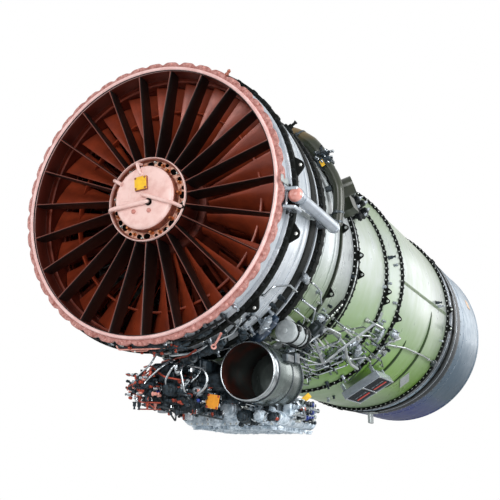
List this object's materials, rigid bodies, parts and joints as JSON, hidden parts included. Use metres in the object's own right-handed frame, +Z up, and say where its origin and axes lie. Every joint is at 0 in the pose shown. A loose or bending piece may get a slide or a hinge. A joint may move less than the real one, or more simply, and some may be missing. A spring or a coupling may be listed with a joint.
{
  "type": "jet engine",
  "caption": "Low-bypass turbofan with fixed inlet vanes, turning fan and core, gearbox with running gears below, green bypass ducts and an open jet pipe.",
  "frame": {"origin": "centre of the intake spigot at the inlet flange's front face, on the engine axis", "axes": "+Y aft along the engine axis (the inlet faces -Y), +Z up (the gearbox hangs at -Z), +X to the viewer's right when facing the inlet"},
  "size_m": [1.0637, 3.127, 1.29],
  "materials": {
    "inlet_paint": "satin",
    "vane_dark": "satin",
    "hub_paint": "satin",
    "yellow_plate": "satin",
    "fan_red": "satin",
    "casing_silver": "satin",
    "dark_flange": "satin",
    "duct_green": "satin",
    "tail_blue": "satin",
    "liner_dark": "satin",
    "core_steel": "satin",
    "hot_steel": "satin",
    "gear_steel": "polished",
    "pipe_steel": "polished",
    "olive_paint": "satin",
    "gearbox_cast": "matte",
    "control_cast": "matte",
    "box_grey": "satin"
  },
  "bodies": {
    "engine": {"inlet_ring": "inlet_paint", "guide_vanes": "vane_dark", "hub_ring": "hub_paint", "nose_cover": "hub_paint", "nose_plate": "yellow_plate", "nose_pipes": "hub_paint", "front_bearing": "gear_steel", "fan_case": "casing_silver", "fan_case_rear": "casing_silver", "case_lugs": "pipe_steel", "fan_stators": "fan_red", "fan_exit_vanes": "casing_silver", "intermediate_case": "duct_green", "frame_struts": "casing_silver", "duct_front": "duct_green", "duct_ring": "duct_green", "duct_rear": "duct_green", "clamp_ring": "tail_blue", "tail_case": "tail_blue", "jet_pipe_liner": "liner_dark", "core_front_case": "core_steel", "core_hub": "core_steel", "burner_case": "core_steel", "burner_liner": "hot_steel", "fuel_nozzles": "gear_steel", "core_stators": "core_steel", "turbine_case": "hot_steel", "turbine_vanes": "hot_steel", "exhaust_frame": "hot_steel", "exhaust_cone": "hot_steel", "mixer": "hot_steel", "flame_holder": "hot_steel", "shaft_bearings": "gear_steel", "side_strut": "pipe_steel", "top_mount": "pipe_steel", "bleed_duct": "olive_paint", "tower_tube": "casing_silver", "gearbox_housing": "gearbox_cast", "gearbox_cover": "gearbox_cast", "open_duct": "casing_silver", "control_unit": "control_cast", "unit_plate": "yellow_plate", "accumulator": "box_grey", "control_box": "box_grey", "oil_pipes": "pipe_steel", "bleed_valve": "olive_paint"},
    "fan_spool": {"fan_drum": "fan_red", "fan_blades_front": "fan_red", "fan_blades_rear": "fan_red", "fan_shaft": "gear_steel", "fan_turbine": "hot_steel"},
    "core_spool": {"core_compressor": "core_steel", "core_shaft": "gear_steel", "core_turbine": "hot_steel"},
    "tower": {"tower_shaft": "gear_steel"},
    "drive": {"drive_gear": "gear_steel"},
    "pump": {"pump_gear": "gear_steel"},
    "lever": {"throttle_lever": "pipe_steel"}
  },
  "joints": [
    {"name": "fan_spin", "type": "hinge", "parent": "engine", "child": "fan_spool", "pos_m": [0, 0.2, 0], "axis": [0, 1, 0], "continuous": true},
    {"name": "core_spin", "type": "hinge", "parent": "engine", "child": "core_spool", "pos_m": [0, 0.8, 0], "axis": [0, 1, 0], "continuous": true},
    {"name": "tower_spin", "type": "hinge", "parent": "engine", "child": "tower", "pos_m": [0, 0.56, -0.3], "axis": [0, 0, 1], "continuous": true},
    {"name": "drive_spin", "type": "hinge", "parent": "engine", "child": "drive", "pos_m": [0, 0.7, -0.622], "axis": [0, 1, 0], "continuous": true},
    {"name": "pump_spin", "type": "hinge", "parent": "engine", "child": "pump", "pos_m": [0.072, 0.7, -0.622], "axis": [0, 1, 0], "continuous": true},
    {"name": "lever_turn", "type": "hinge", "parent": "engine", "child": "lever", "pos_m": [-0.146, 0.3, -0.58], "axis": [1, 0, 0], "range_deg": [-20, 70]}
  ],
  "couplings": [
    {"joint": "tower_spin", "follows": "core_spin", "ratio": -1},
    {"joint": "drive_spin", "follows": "core_spin", "ratio": 1},
    {"joint": "pump_spin", "follows": "core_spin", "ratio": -1}
  ]
}
